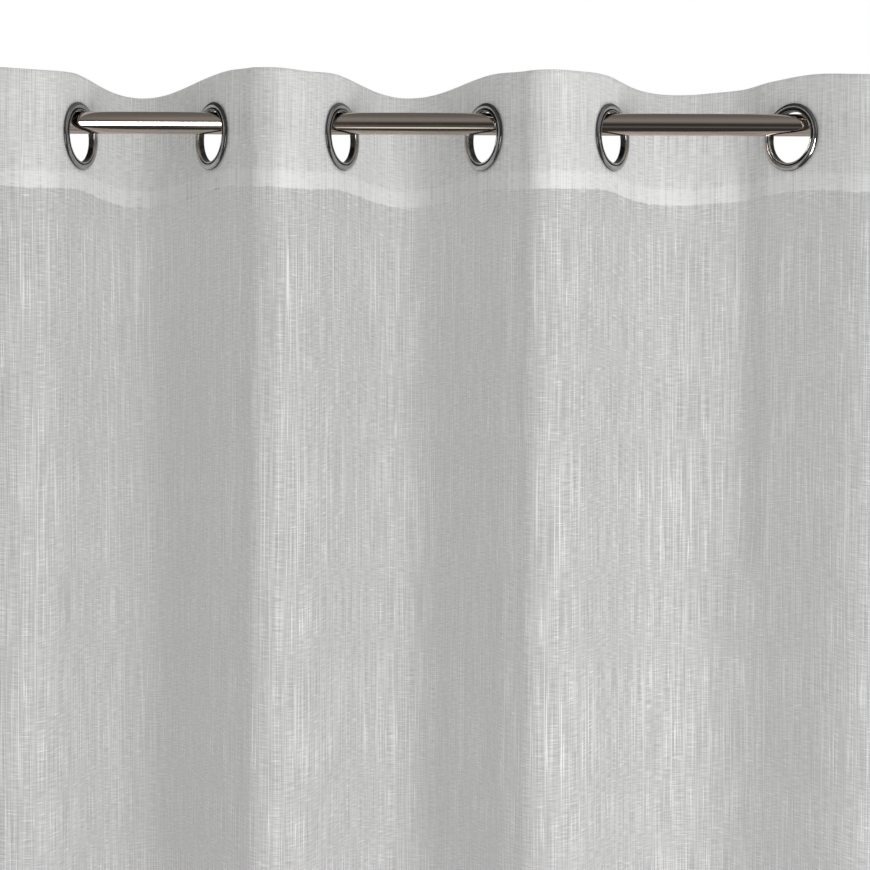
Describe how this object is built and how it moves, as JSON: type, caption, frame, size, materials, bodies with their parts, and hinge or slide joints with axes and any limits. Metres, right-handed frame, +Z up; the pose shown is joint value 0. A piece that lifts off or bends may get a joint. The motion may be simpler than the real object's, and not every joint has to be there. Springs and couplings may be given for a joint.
{
  "type": "sheer voile curtain on a curtain rod",
  "caption": "Sheer voile curtain panel gathered in soft folds on a plain round rod, threaded through pressed metal eyelets in a double heading.",
  "frame": {"origin": "on the rod's axis at the middle of the rod's length", "axes": "+X along the rod to the right as seen from the room, +Y from the room to the wall, +Z up"},
  "size_m": [1.1, 0.1542, 2.409],
  "materials": {
    "voile": "sheer plain weave with slubs, light grey, matt",
    "rod_metal": "polished nickel, warm grey",
    "eyelet_metal": "polished dark nickel"
  },
  "bodies": {
    "root": {"rod": "rod_metal", "heading": "voile", "panel": "voile", "eyelet_1": "eyelet_metal", "eyelet_2": "eyelet_metal", "eyelet_3": "eyelet_metal", "eyelet_4": "eyelet_metal", "eyelet_5": "eyelet_metal", "eyelet_6": "eyelet_metal", "eyelet_7": "eyelet_metal", "eyelet_8": "eyelet_metal", "washer_1": "eyelet_metal", "washer_2": "eyelet_metal", "washer_3": "eyelet_metal", "washer_4": "eyelet_metal", "washer_5": "eyelet_metal", "washer_6": "eyelet_metal", "washer_7": "eyelet_metal", "washer_8": "eyelet_metal"}
  },
  "joints": []
}
